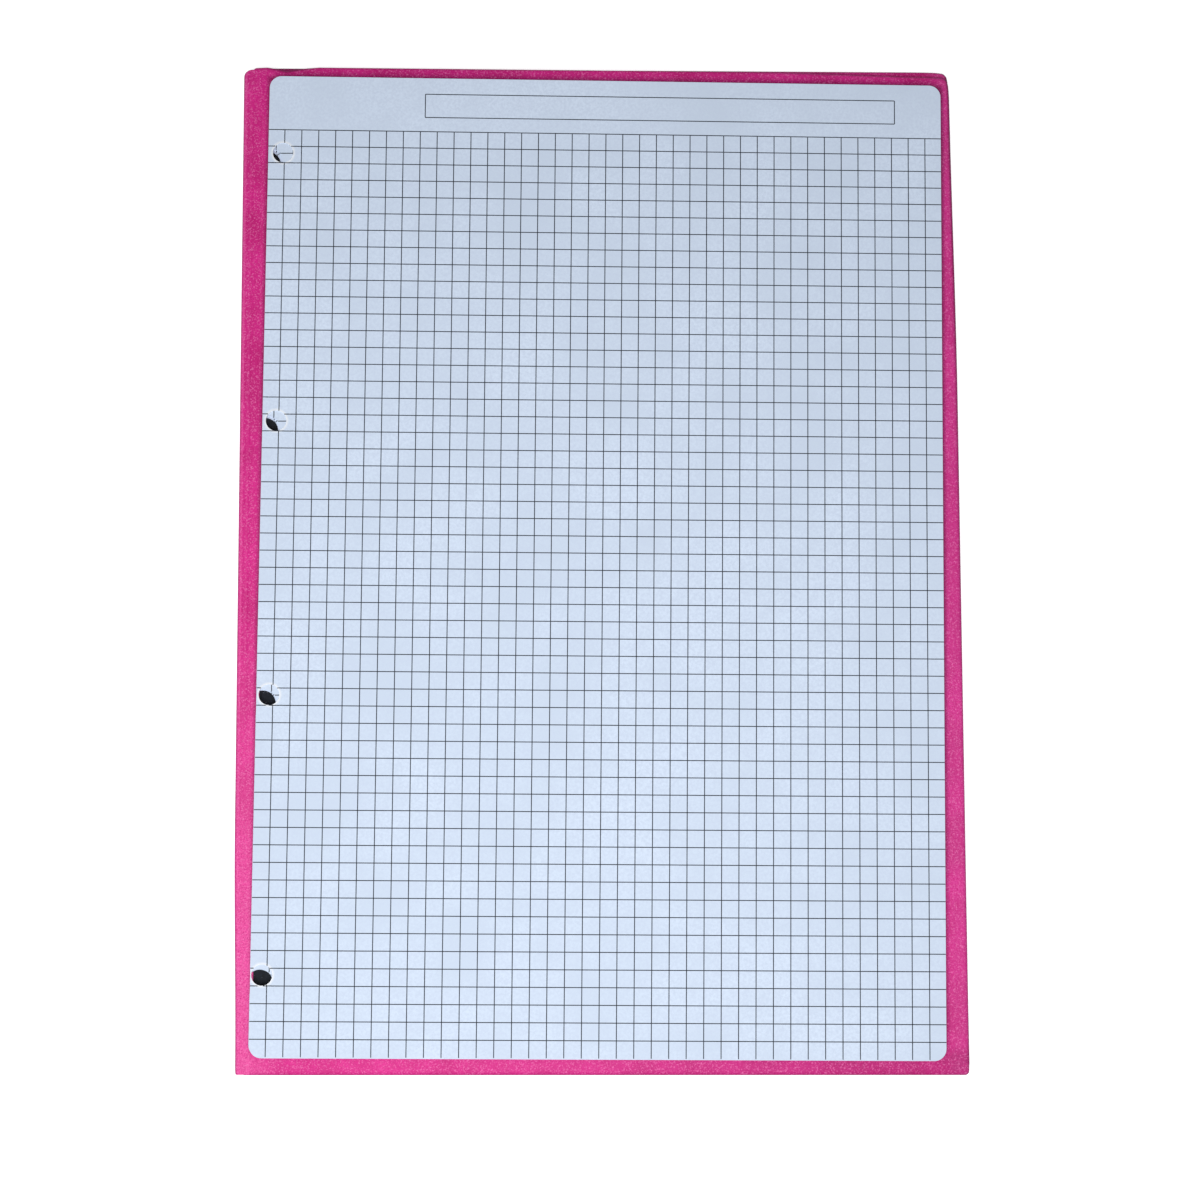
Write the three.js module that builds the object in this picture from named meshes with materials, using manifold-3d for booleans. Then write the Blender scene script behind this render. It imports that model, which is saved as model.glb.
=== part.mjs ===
// A4 squared scoring board: a leatherette-covered board folio folded right round behind itself, with a black
// backing card and a stack of loose, four-hole punched, squared sheets lying on its upper inner face.
// Millimetres. +X runs across the sheets, +Y runs up the sheets to their header, +Z points up off the table.
// At rest the front cover lies underneath with its inner face on the table, the spine stands upright along
// the left edge, and the back cover lies on top of the front cover and carries the sheets.

import * as THREE from 'three';
import { mergeVertices } from 'three/addons/utils/BufferGeometryUtils.js';
import Module from 'manifold-3d';

const wasm = await Module();
wasm.setup();

// ---- Driving dimensions ----

const OVERALL_WIDTH = 212.8;   // from the outside of the folded spine to the fore-edge
const COVER_HEIGHT = 297;
const CORNER_RADIUS = 1.2;     // outer corners of the covers
const CORNER_STEPS = 6;

const SKIN = 0.5;              // leatherette on the outside and turned in on the inside
const CORE = 1.4;              // greyboard inside each cover
const LINING = 0.45;           // sheet pasted between the turn-ins
const TURN_IN = 16;            // width of the leatherette turned in at head, tail and fore-edge
const GLUE_LINE = 0.02;        // clearance between pasted layers
const POCKET_CLEARANCE = 0.1;  // clearance round the edges of a pasted layer

const FOLD_GAP = 0.1;          // between the two covers when they are folded back to back
const HINGE_WIDTH = 2.6;       // bare leatherette between the spine's inner face and the board's edge
const COVER_SKEW = THREE.MathUtils.degToRad(0.25);  // the front cover is folded round slightly askew
const COVER_CREEP = 0.95;      // and this far towards the header from the back cover

const SPINE_THICKNESS = 1.4;
const SPINE_SKIN = 0.35;
const SPINE_CORE = 0.6;
const SPINE_END_CLEARANCE = 0.55;  // room above and below the spine for the hinge strips
const HEAD_GAP = 1.2;          // the spine and the hinge strips stop this far short of the covers' head

const PAGE_WIDTH = 199.5;
const PAGE_HEIGHT = 286.4;
const PAGE_CORNER_RADIUS = 3.5;
const SHEET_THICKNESS = 0.18;
const SHEET_PITCH = 0.2;
const SHEET_COUNT = 16;
const PAD_TURN = THREE.MathUtils.degToRad(-0.6);  // the stack lies slightly clockwise on the board
const PAD_CENTRE = new THREE.Vector2(0.45, 0.2);
// Every sheet under the top one lies this far out of line, each a golden angle on from the one above it.
const SHEET_STRAY = 0.15;
const SHEET_STRAY_TURN = THREE.MathUtils.degToRad(0.02);
const GOLDEN_ANGLE = Math.PI * (3 - Math.sqrt(5));
const CARD_THICKNESS = 0.8;
const CARD_INSET = 0.25;       // the card is this much smaller than a sheet on every side
const PAD_CLEARANCE = 0.05;    // between the cover, the card and the lowest sheet

const HOLE_RADIUS = 3;
const LOWER_HOLE_RADIUS = 4;    // chosen, not measured: it shapes the dark patches in the top holes
const HOLE_STEPS = 36;
const HOLE_COUNT = 4;
const HOLE_PITCH = 80;
const HOLE_INSET = 3.8;        // middle of the hole column, from the sheet's left edge
const HOLE_RAISE = 0.05;       // middle of the hole column, above the sheet's middle
const COLUMN_LEAN = THREE.MathUtils.degToRad(-0.25);
// The lowest sheet is punched this far away from where the top sheet is, and turned by this much.
// Both were chosen so that the patches in the top holes look like the photo's, and neither is measured.
// The second sheet already has most of that, and the sheets between them make up the rest ever more slowly.
const PUNCH_DRIFT = new THREE.Vector2(-2.9, -2.6);
const PUNCH_TURN = THREE.MathUtils.degToRad(1);
const SECOND_SHEET_DRIFT = 0.8;
const DRIFT_SETTLING = 3;

const OVERCUT = 1;             // how far a cutter reaches past the face that it opens
const MERGE_DISTANCE = 1e-5;

// ---- Derived levels ----

const COVER_THICKNESS = SKIN + CORE + SKIN;
const SPINE_WIDTH = 2 * COVER_THICKNESS + FOLD_GAP;  // hinge axis to hinge axis
const LEFT = -OVERALL_WIDTH / 2;
const COVER_WIDTH = OVERALL_WIDTH - HINGE_WIDTH;
const COVER_LEFT = LEFT + HINGE_WIDTH;
const BACK_COVER_BASE = COVER_THICKNESS + FOLD_GAP;
const CARD_BASE = SPINE_WIDTH + PAD_CLEARANCE;
const SHEETS_BASE = CARD_BASE + CARD_THICKNESS + PAD_CLEARANCE;

// ---- Materials ----

function finish(color, roughness) {
  return new THREE.MeshStandardMaterial({ color, roughness, metalness: 0 });
}

const FUCHSIA_SKIN = finish('#d02c78', 0.62);
const FUCHSIA_LINING = finish('#cc2f78', 0.7);
const GREYBOARD = finish('#8d867b', 0.95);
const BLACK_CARD = finish('#1c2028', 0.85);
const WHITE_PAPER = finish('#d8e4f4', 0.9);

// ---- Geometry helpers ----

function solidFrom(geometry) {
  const bare = geometry.clone();
  bare.deleteAttribute('normal');
  bare.deleteAttribute('uv');
  const merged = mergeVertices(bare, MERGE_DISTANCE);
  return new wasm.Manifold(new wasm.Mesh({
    numProp: 3,
    vertProperties: new Float32Array(merged.attributes.position.array),
    triVerts: new Uint32Array(merged.index.array),
  }));
}

function geometryFrom(solid) {
  const mesh = solid.getMesh();
  const geometry = new THREE.BufferGeometry();
  geometry.setAttribute('position', new THREE.BufferAttribute(mesh.vertProperties, 3));
  geometry.setIndex(new THREE.BufferAttribute(mesh.triVerts, 1));
  geometry.computeVertexNormals();
  return geometry;
}

function cut(geometry, cutters) {
  const start = solidFrom(geometry);
  return geometryFrom(cutters.reduce((solid, cutter) => solid.subtract(solidFrom(cutter)), start));
}

function roundedRectangle(width, height, radius) {
  const x = width / 2;
  const y = height / 2;
  const shape = new THREE.Shape();
  shape.moveTo(-x + radius, -y);
  shape.lineTo(x - radius, -y);
  shape.absarc(x - radius, -y + radius, radius, -Math.PI / 2, 0);
  shape.lineTo(x, y - radius);
  shape.absarc(x - radius, y - radius, radius, 0, Math.PI / 2);
  shape.lineTo(-x + radius, y);
  shape.absarc(-x + radius, y - radius, radius, Math.PI / 2, Math.PI);
  shape.lineTo(-x, -y + radius);
  shape.absarc(-x + radius, -y + radius, radius, Math.PI, 1.5 * Math.PI);
  return shape;
}

function slab(shape, base, thickness) {
  const settings = { depth: thickness, bevelEnabled: false, curveSegments: CORNER_STEPS };
  return new THREE.ExtrudeGeometry(shape, settings).translate(0, 0, base);
}

function block(x0, x1, y0, y1, z0, z1) {
  const box = new THREE.BoxGeometry(x1 - x0, y1 - y0, z1 - z0);
  return box.translate((x0 + x1) / 2, (y0 + y1) / 2, (z0 + z1) / 2);
}

function piece(name, geometry, material) {
  const mesh = new THREE.Mesh(geometry, material);
  mesh.name = name;
  return mesh;
}

// ---- Covers ----

// One cover, centred on its own middle, with its inner face up at z = COVER_THICKNESS: a greyboard core in a
// tray of leatherette whose edges turn in over the inner face, and a lining between the turn-ins that runs
// out to the hinge side at -X.
function cover(side) {
  const halfWidth = COVER_WIDTH / 2;
  const halfHeight = COVER_HEIGHT / 2;
  const pocket = block(
    -halfWidth + SKIN, halfWidth - SKIN,
    -halfHeight + SKIN, halfHeight - SKIN,
    SKIN, SKIN + CORE);
  const window = block(
    -halfWidth - OVERCUT, halfWidth - TURN_IN,
    -halfHeight + TURN_IN, halfHeight - TURN_IN,
    SKIN + CORE - LINING, COVER_THICKNESS + OVERCUT);
  const outline = roundedRectangle(COVER_WIDTH, COVER_HEIGHT, CORNER_RADIUS);
  const skin = cut(slab(outline, 0, COVER_THICKNESS), [pocket, window]);

  const coreInset = SKIN + POCKET_CLEARANCE;
  const core = block(
    -halfWidth + coreInset, halfWidth - coreInset,
    -halfHeight + coreInset, halfHeight - coreInset,
    SKIN + GLUE_LINE, SKIN + CORE - GLUE_LINE);

  const lining = block(
    -halfWidth, halfWidth - TURN_IN - POCKET_CLEARANCE,
    -halfHeight + TURN_IN + POCKET_CLEARANCE, halfHeight - TURN_IN - POCKET_CLEARANCE,
    COVER_THICKNESS - LINING, COVER_THICKNESS);

  const group = new THREE.Group();
  group.add(
    piece(`${side}_cover_core`, core, GREYBOARD),
    piece(`${side}_cover_skin`, skin, FUCHSIA_SKIN),
    piece(`${side}_cover_lining`, lining, FUCHSIA_LINING));
  return group;
}

// The bare leatherette between the spine and a cover's edge. The cover's edge leans by the given angle.
function hingeStrip(name, base, lean) {
  const head = COVER_HEIGHT / 2 - HEAD_GAP;
  const tail = -COVER_HEIGHT / 2;
  const right = COVER_LEFT - POCKET_CLEARANCE;
  const shape = new THREE.Shape([
    new THREE.Vector2(LEFT, tail),
    new THREE.Vector2(right - tail * Math.tan(lean), tail),
    new THREE.Vector2(right - head * Math.tan(lean), head),
    new THREE.Vector2(LEFT, head),
  ]);
  return piece(name, slab(shape, base, LINING), FUCHSIA_LINING);
}

function backCover() {
  const group = new THREE.Group();
  const body = cover('back');
  body.position.set(COVER_LEFT + COVER_WIDTH / 2, 0, BACK_COVER_BASE);
  group.add(body, hingeStrip('back_hinge_strip', SPINE_WIDTH - LINING, 0));
  return group;
}

// Turned over, so that its inner face is down on the table.
function frontCover() {
  const body = cover('front');
  body.rotation.x = Math.PI;
  body.position.z = COVER_THICKNESS;
  const skewed = new THREE.Group();
  skewed.add(body);
  skewed.rotation.z = COVER_SKEW;
  skewed.position.set(COVER_LEFT + COVER_WIDTH / 2, COVER_CREEP, 0);
  const group = new THREE.Group();
  group.add(skewed, hingeStrip('front_hinge_strip', 0, COVER_SKEW));
  return group;
}

// ---- Spine ----

// Upright at rest. Its lining faces left, its leatherette faces the covers' edges.
function spine() {
  const bottom = SPINE_END_CLEARANCE;
  const top = SPINE_WIDTH - SPINE_END_CLEARANCE;
  const head = COVER_HEIGHT / 2 - HEAD_GAP;
  const tail = -COVER_HEIGHT / 2;
  const coreLeft = LEFT + SPINE_SKIN + GLUE_LINE;
  const coreRight = coreLeft + SPINE_CORE;
  const coreInset = SKIN + POCKET_CLEARANCE;

  const lining = block(LEFT, LEFT + SPINE_SKIN, tail, head, bottom, top);
  const core = block(coreLeft, coreRight, tail + coreInset, head - coreInset, bottom, top);
  const pocket = block(
    coreLeft - OVERCUT, coreRight + GLUE_LINE,
    tail + SKIN, head - SKIN,
    bottom - OVERCUT, top + OVERCUT);
  const skin = cut(block(coreLeft, LEFT + SPINE_THICKNESS, tail, head, bottom, top), [pocket]);

  const group = new THREE.Group();
  group.add(
    piece('spine_core', core, GREYBOARD),
    piece('spine_skin', skin, FUCHSIA_SKIN),
    piece('spine_lining', lining, FUCHSIA_LINING));
  return group;
}

// ---- Pad ----

function layOnBoard(mesh, shift, turn) {
  mesh.position.set(PAD_CENTRE.x + shift.x, PAD_CENTRE.y + shift.y, 0);
  mesh.rotation.z = PAD_TURN + turn;
  return mesh;
}

// Centre of one punched hole on a sheet's own axes, for a punch that drifted by the given fraction.
function holeCentre(index, drift) {
  const along = HOLE_PITCH * ((HOLE_COUNT - 1) / 2 - index);
  const offset = new THREE.Vector2(0, along);
  offset.rotateAround(new THREE.Vector2(), COLUMN_LEAN + PUNCH_TURN * drift);
  offset.addScaledVector(PUNCH_DRIFT, drift);
  offset.x += -PAGE_WIDTH / 2 + HOLE_INSET;
  offset.y += HOLE_RAISE;
  return offset;
}

function punch(base, centre, radius) {
  const height = SHEET_THICKNESS + 2 * OVERCUT;
  const cylinder = new THREE.CylinderGeometry(radius, radius, height, HOLE_STEPS);
  cylinder.rotateX(Math.PI / 2);
  return cylinder.translate(centre.x, centre.y, base + SHEET_THICKNESS / 2);
}

// Sheet 1 is the top one.
function sheet(number) {
  const isTop = number === 1;
  const level = SHEETS_BASE + (SHEET_COUNT - number) * SHEET_PITCH;
  const height = (SHEET_COUNT - number) / (SHEET_COUNT - 2);
  const drift = isTop ? 0 : 1 - (1 - SECOND_SHEET_DRIFT) * height ** DRIFT_SETTLING;
  const outline = roundedRectangle(PAGE_WIDTH, PAGE_HEIGHT, PAGE_CORNER_RADIUS);
  const radius = isTop ? HOLE_RADIUS : LOWER_HOLE_RADIUS;
  const punches = Array.from(
    { length: HOLE_COUNT }, (_, i) => punch(level, holeCentre(i, drift), radius));
  const geometry = cut(slab(outline, level, SHEET_THICKNESS), punches);
  const mesh = piece(`sheet_${String(number).padStart(2, '0')}`, geometry, WHITE_PAPER);
  const shift = new THREE.Vector2(isTop ? 0 : SHEET_STRAY, 0);
  shift.rotateAround(new THREE.Vector2(), number * GOLDEN_ANGLE);
  return layOnBoard(mesh, shift, isTop ? 0 : SHEET_STRAY_TURN * Math.sin(number));
}

function backingCard() {
  const outline = roundedRectangle(
    PAGE_WIDTH - 2 * CARD_INSET, PAGE_HEIGHT - 2 * CARD_INSET, PAGE_CORNER_RADIUS);
  const mesh = piece('backing_card', slab(outline, CARD_BASE, CARD_THICKNESS), BLACK_CARD);
  return layOnBoard(mesh, new THREE.Vector2(), 0);
}

// ---- Assembly ----

const board = new THREE.Group();
board.add(backCover(), spine(), frontCover(), backingCard());
for (let number = SHEET_COUNT; number >= 1; number -= 1) {
  board.add(sheet(number));
}

// The origin is the middle of the whole object's footprint, on the table.
const middle = new THREE.Box3().setFromObject(board).getCenter(new THREE.Vector3());
board.position.set(-middle.x, -middle.y, 0);

export default board;
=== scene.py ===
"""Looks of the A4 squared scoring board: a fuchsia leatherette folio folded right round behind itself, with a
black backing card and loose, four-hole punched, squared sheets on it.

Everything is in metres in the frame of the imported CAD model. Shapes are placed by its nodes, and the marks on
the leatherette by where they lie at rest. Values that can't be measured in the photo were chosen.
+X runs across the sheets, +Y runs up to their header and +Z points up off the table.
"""

import math

import bmesh
import bpy
import numpy as np
from mathutils import Matrix, Vector, geometry, noise


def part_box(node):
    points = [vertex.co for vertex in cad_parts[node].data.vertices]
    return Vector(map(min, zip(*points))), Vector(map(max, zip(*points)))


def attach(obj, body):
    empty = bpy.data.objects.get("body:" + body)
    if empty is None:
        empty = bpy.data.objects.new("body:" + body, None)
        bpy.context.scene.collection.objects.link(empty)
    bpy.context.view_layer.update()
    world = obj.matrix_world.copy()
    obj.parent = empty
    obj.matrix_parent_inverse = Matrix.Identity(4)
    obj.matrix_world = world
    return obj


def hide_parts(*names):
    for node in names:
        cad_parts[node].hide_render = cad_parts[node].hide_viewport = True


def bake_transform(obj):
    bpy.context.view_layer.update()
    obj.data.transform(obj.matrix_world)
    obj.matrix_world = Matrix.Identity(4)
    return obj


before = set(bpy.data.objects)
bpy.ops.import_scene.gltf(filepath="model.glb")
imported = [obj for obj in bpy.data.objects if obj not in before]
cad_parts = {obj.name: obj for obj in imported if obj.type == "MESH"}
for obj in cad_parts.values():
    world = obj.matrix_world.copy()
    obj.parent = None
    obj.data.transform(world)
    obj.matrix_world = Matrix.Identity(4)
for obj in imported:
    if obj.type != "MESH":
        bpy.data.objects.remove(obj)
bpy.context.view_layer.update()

MM = 0.001

# ---- Driving dimensions, in millimetres unless they say otherwise ----

COVER_CORNER = 1.3          # radius of a cover's corners, seen from above
COVER_EDGE = 1.05           # rounding of a cover's edges, where the skin turns over the board
COVER_RECESS = 0.04         # the skin's inner face lies this far under the lining's face
OUT_OF_SQUARE = 0.006       # the folio's head and foot fall this much per millimetre to the right
TURN_IN = 16.0              # width of the leatherette turned in over the inner face
MITRE_DEPTH = 0.05          # crease where two turn-ins meet at a corner
BOARD_WARP = 0.05           # how far a cover's faces wander from flat
CORNER_WEAR = 6.0           # how far rubbed colour reaches from a corner
HEAD_DENT = 1.2             # depth of the dent in the upper cover's head, near the fold
HEAD_DENT_PLACE = 10.8      # its middle, from the cover's left edge
HEAD_DENT_WIDTH = 4.2
HEAD_DENT_LEFT = 0.35       # further depth at the cover's left edge
HEAD_PRESSED = 1.2          # how far the upper cover's head is pressed in towards the fore-edge
HEAD_NARROWING = 1.0        # how far its fore-edge leans in towards the head
KNOCK_REACH = 2.2           # how far a knocked-in corner reaches
UPPER_KNOCK = 0.8
LOWER_KNOCK = 0.9
LINING_THICKNESS = 0.12
LINING_EDGE = 0.8           # how far a lining laps over the turn-ins, and its corner radius

HINGE_LAP = 5.4             # the hinge lining reaches this far onto a cover from the outside of the fold
HINGE_THICKNESS = 0.4
HINGE_CREASE = 2.85         # the board's edge shows through the lining this far from the outside
CREASE_DEPTH = 0.1
FOLD_RADIUS = 0.95
FOLD_CORNER = 2.0           # rounding of the fold's ends, seen from above
FOLD_CROWN = 1.15           # width of the raised roll along the outside, rubbed pale and with a painted highlight
FOOT_PULL = 0.9             # the fold leans in this much towards its foot
FOOT_PULL_REACH = 70.0
SPINE_LAP = 1.7             # the hinge lining reaches this far down the spine
SPINE_ROUND = 0.28          # rounding of the long edges of the spine's layers
SPINE_CORE_INSET = 0.1      # the stiffener stops this far short of the CAD core's long edges
SPINE_FOOT_SHORT = 0.9      # the spine's layers stop this far short of the CAD spine's foot
SPINE_HEAD_SHORT = 1.6      # and of its head
SPINE_PINCH = 0.82          # size of the layers' ends, as a part of the section elsewhere

PAGE_CORNER = 3.5
SQUARE = 5.0                # the printed grid
COLUMN_LINES = 39
ROW_LINES = 54
GRID_LEFT = 4.75            # first upright line, from the page's left edge
GRID_TOP = 16.2             # first level line, from the page's top edge
GRID_FOOT = 0.2             # the upright lines stop this far short of the page's foot
TITLE_LEFT = 46.1
TITLE_RIGHT = 185.7
TITLE_TOP = 4.85
TITLE_FOOT = 11.9
INK_WIDTH = 0.27
INK_HEIGHT = 0.008
PRINT_STRAY = (-0.95, -1.95)  # the lower sheets are printed this far off the top sheet's place
PRINT_TURN = 0.72           # and turned by this many degrees about the middle of their left edge
COCKLE = 0.15               # how far the top sheet waves up off the stack
BURR = 0.05                 # lip raised round a punched hole
BURR_REACH = 0.35
BURR_HIGHLIGHT_REACH = 0.7       # how far the painted highlight on a burr reaches from the hole

# ---- Painted light and shade on the leatherette: from where to where each one grows, in metres, and its full strength ----

# painted highlight that pales the fold's foot
FOOT_HIGHLIGHT_Y = (-0.02, -0.12)
FOOT_HIGHLIGHT_X = (-0.092, -0.102)
FOOT_HIGHLIGHT = 0.75
# painted lilac sheen along the fore-edge
FORE_EDGE_SHEEN_X = (0.098, 0.102)
FORE_EDGE_SHEEN = 0.3
# painted shade along the foot's edge, growing to the right, and along the head
FOOT_SHADE_Y = (-0.141, -0.144)
FOOT_SHADE_X = (-0.06, 0.08)
FOOT_SHADE = 0.42
HEAD_SHADE_Y = (0.138, 0.145)
HEAD_SHADE = 0.12
# painted shadow on the cover beside the pad of sheets
PAD_SHADE_REACH = (0.0009, 0.002)   # outside the pad, strongest at its edge
PAD_SHADE = 0.5
PAD_SHADE_Y = (-0.145, -0.02)
PAD_SHADE_AT_FOOT = 0.15            # part of the shade that is left at the foot
INNER_FACE_Z = (0.0044, 0.0046)     # the upper cover's inner face lies above these levels
EDGE_SHADE = 0.6                         # painted shade on the upper and lower covers' outer edge

# ---- Light ----

FLOOR_HALF = 1.6                    # metres
FLOOR_DROP = 0.02                   # millimetres under the object
FLOOR_GLOW = 0.6
ROOM_COLOUR = (0.93, 0.96, 1.0, 1.0)
ROOM_STRENGTH = 0.254
LAMP_PLACE = (-55, -180, 560)       # millimetres
LAMP_AIM = (0, -20, 0)
LAMP_SIZE = 350
LAMP_WATTS = 2.78
LAMP_COLOUR = (0.985, 0.99, 1.0)

# ---- Camera: where it stands and looks, in millimetres from the origin ----

CAMERA_PLACE = (-9.8, -46.9, 502.6)
CAMERA_AIM = (-0.67, -12.14, 8.98)
CAMERA_ROLL = 0.146         # degrees
CAMERA_LENS = 51.0          # on a 36 mm wide sensor


# ---- Reading the CAD model ----

class Place:
    """Where a flat rectangular CAD node lies: its middle, turn about +Z, half sizes and levels."""

    def __init__(self, node):
        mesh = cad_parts[node].data
        self.points = [v.co.copy() for v in mesh.vertices]
        self.low = min(p.z for p in self.points)
        self.high = max(p.z for p in self.points)
        along = self.fore_edge(mesh)
        self.turn = math.atan2(-along.x, along.y)
        across = Vector((along.y, -along.x, 0))
        xs = [p.dot(across) for p in self.points]
        ys = [p.dot(along) for p in self.points]
        self.half_width = (max(xs) - min(xs)) / 2
        self.half_height = (max(ys) - min(ys)) / 2
        middle = across * (max(xs) + min(xs)) / 2 + along * (max(ys) + min(ys)) / 2
        self.middle = Vector((middle.x, middle.y, 0))

    def fore_edge(self, mesh):
        """Direction, towards the head, of the long straight outline edge on the right."""
        solid = bmesh.new()
        solid.from_mesh(mesh)
        bmesh.ops.remove_doubles(solid, verts=solid.verts, dist=1e-7)
        outline = [e for e in solid.edges if len(e.link_faces) == 2 and e.calc_face_angle(0) > 1]
        level = [e for e in outline if abs(e.verts[0].co.z - e.verts[1].co.z) < 1e-7]
        right = max(level, key=lambda e: e.verts[0].co.x + e.verts[1].co.x if e.calc_length() > 0.1 else -1)
        along = (right.verts[1].co - right.verts[0].co).normalized()
        solid.free()
        return along if along.y > 0 else -along

    def local(self, point):
        """A point in the node's own axes, with its middle at the origin."""
        return Matrix.Rotation(-self.turn, 3, "Z") @ (point - self.middle)

    def world(self, x, y, z):
        return Matrix.Rotation(self.turn, 3, "Z") @ Vector((x, y, z)) + self.middle


def fit_circle(points):
    """Centre and radius of the circle through points (x, y), by least squares."""
    p = np.array(points)
    system = np.column_stack([2 * p, np.ones(len(p))])
    x, y, c = np.linalg.lstsq(system, (p ** 2).sum(axis=1), rcond=None)[0]
    return x, y, math.sqrt(c + x * x + y * y)


def punched_holes(place):
    """The holes of a sheet as (x, y, radius) in its own axes, from the head down."""
    pitch = 80 * MM
    margin = 12 * MM
    end_margin = 10 * MM
    groups = [[], [], [], []]
    for point in place.points:
        p = place.local(point)
        inside = abs(p.x) < place.half_width - 1e-6 and abs(p.y) < place.half_height - end_margin
        if inside and p.x < -place.half_width + margin:
            groups[round(1.5 - p.y / pitch)].append((p.x, p.y))
    return [fit_circle(group) for group in groups]


PAD = Place("sheet_01")


# ---- Materials ----

def linear(red, green, blue):
    """A colour given in 0-255 screen values, as the linear colour that the shaders take."""
    def channel(value):
        value /= 255
        return value / 12.92 if value <= 0.04045 else ((value + 0.055) / 1.055) ** 2.4
    return (channel(red), channel(green), channel(blue), 1.0)


SHADE = linear(100, 8, 56)          # colour of painted shade on the leatherette
# colour of the painted sheen on the fore-edge
SHEEN_LILAC = linear(214, 96, 168)
GLOSS_TINT = linear(255, 150, 200)
SHEEN_TINT = linear(255, 130, 190)
WHITE = linear(255, 255, 255)


class Surface:
    """A node material under construction: a Principled shader that reads places on the object in metres."""

    def __init__(self, name, roughness, specular=0.5):
        self.material = bpy.data.materials.new(name)
        self.material.use_nodes = True
        self.tree = self.material.node_tree
        self.shader = self.tree.nodes["Principled BSDF"]
        self.shader.inputs["Roughness"].default_value = roughness
        self.shader.inputs["Specular IOR Level"].default_value = specular
        self.place = self.add("ShaderNodeTexCoord").outputs["Object"]

    def add(self, kind, **settings):
        node = self.tree.nodes.new(kind)
        for key, value in settings.items():
            setattr(node, key, value)
        return node

    def link(self, source, target):
        self.tree.links.new(source, target)

    def noise(self, size_mm, detail=2.0, roughness=0.5, stretch=None):
        """Noise whose lumps are about size_mm across."""
        node = self.add("ShaderNodeTexNoise")
        node.inputs["Scale"].default_value = 1 / (size_mm * MM)
        node.inputs["Detail"].default_value = detail
        node.inputs["Roughness"].default_value = roughness
        source = self.place
        if stretch:
            mapping = self.add("ShaderNodeMapping")
            mapping.inputs["Scale"].default_value = stretch
            self.link(source, mapping.inputs["Vector"])
            source = mapping.outputs["Vector"]
        self.link(source, node.inputs["Vector"])
        return node.outputs["Fac"]

    def cells(self, size_mm):
        """Distance from the middles of soft-edged cells about size_mm across."""
        node = self.add("ShaderNodeTexVoronoi", feature="SMOOTH_F1")
        node.inputs["Scale"].default_value = 1 / (size_mm * MM)
        self.link(self.place, node.inputs["Vector"])
        return node.outputs["Distance"]

    def outside_pad(self):
        """Distance outside the outline of the pad of sheets, in metres; negative on the pad."""
        mapping = self.add("ShaderNodeMapping", vector_type="TEXTURE")
        mapping.inputs["Location"].default_value = PAD.middle
        mapping.inputs["Rotation"].default_value = (0, 0, PAD.turn)
        self.link(self.place, mapping.inputs["Vector"])
        axes = self.add("ShaderNodeSeparateXYZ")
        self.link(mapping.outputs["Vector"], axes.inputs["Vector"])
        beside = self.math("SUBTRACT", self.math("ABSOLUTE", axes.outputs["X"], 0.0), PAD.half_width)
        past_end = self.math("SUBTRACT", self.math("ABSOLUTE", axes.outputs["Y"], 0.0), PAD.half_height)
        return self.math("MAXIMUM", beside, past_end)

    def axis(self, letter):
        """One coordinate of the place, in metres."""
        axes = self.add("ShaderNodeSeparateXYZ")
        self.link(self.place, axes.inputs["Vector"])
        return axes.outputs[letter]

    def attribute(self, name):
        return self.add("ShaderNodeAttribute", attribute_name=name).outputs["Fac"]

    def remap(self, value, low, high, to_low=0.0, to_high=1.0):
        node = self.add("ShaderNodeMapRange", clamp=True)
        self.link(value, node.inputs["Value"])
        node.inputs["From Min"].default_value = low
        node.inputs["From Max"].default_value = high
        node.inputs["To Min"].default_value = to_low
        node.inputs["To Max"].default_value = to_high
        return node.outputs["Result"]

    def math(self, operation, first, second):
        node = self.add("ShaderNodeMath", operation=operation)
        for socket, value in zip(node.inputs, (first, second)):
            if isinstance(value, (int, float)):
                socket.default_value = value
            else:
                self.link(value, socket)
        return node.outputs["Value"]

    def mix(self, factor, first, second):
        """Mixes two colours. Each is a colour or a socket."""
        node = self.add("ShaderNodeMix", data_type="RGBA")
        colour_inputs = [s for s in node.inputs if s.type == "RGBA"]
        self.link(factor, node.inputs["Factor"])
        for socket, value in zip(colour_inputs, (first, second)):
            if isinstance(value, tuple):
                socket.default_value = value
            else:
                self.link(value, socket)
        return next(s for s in node.outputs if s.type == "RGBA")

    def bump(self, height, depth_mm, strength=1.0):
        node = self.add("ShaderNodeBump")
        node.inputs["Strength"].default_value = strength
        node.inputs["Distance"].default_value = depth_mm * MM
        self.link(height, node.inputs["Height"])
        self.link(node.outputs["Normal"], self.shader.inputs["Normal"])

    def colour(self, source):
        self.link(source, self.shader.inputs["Base Color"])

    def roughness(self, source):
        self.link(source, self.shader.inputs["Roughness"])


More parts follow.
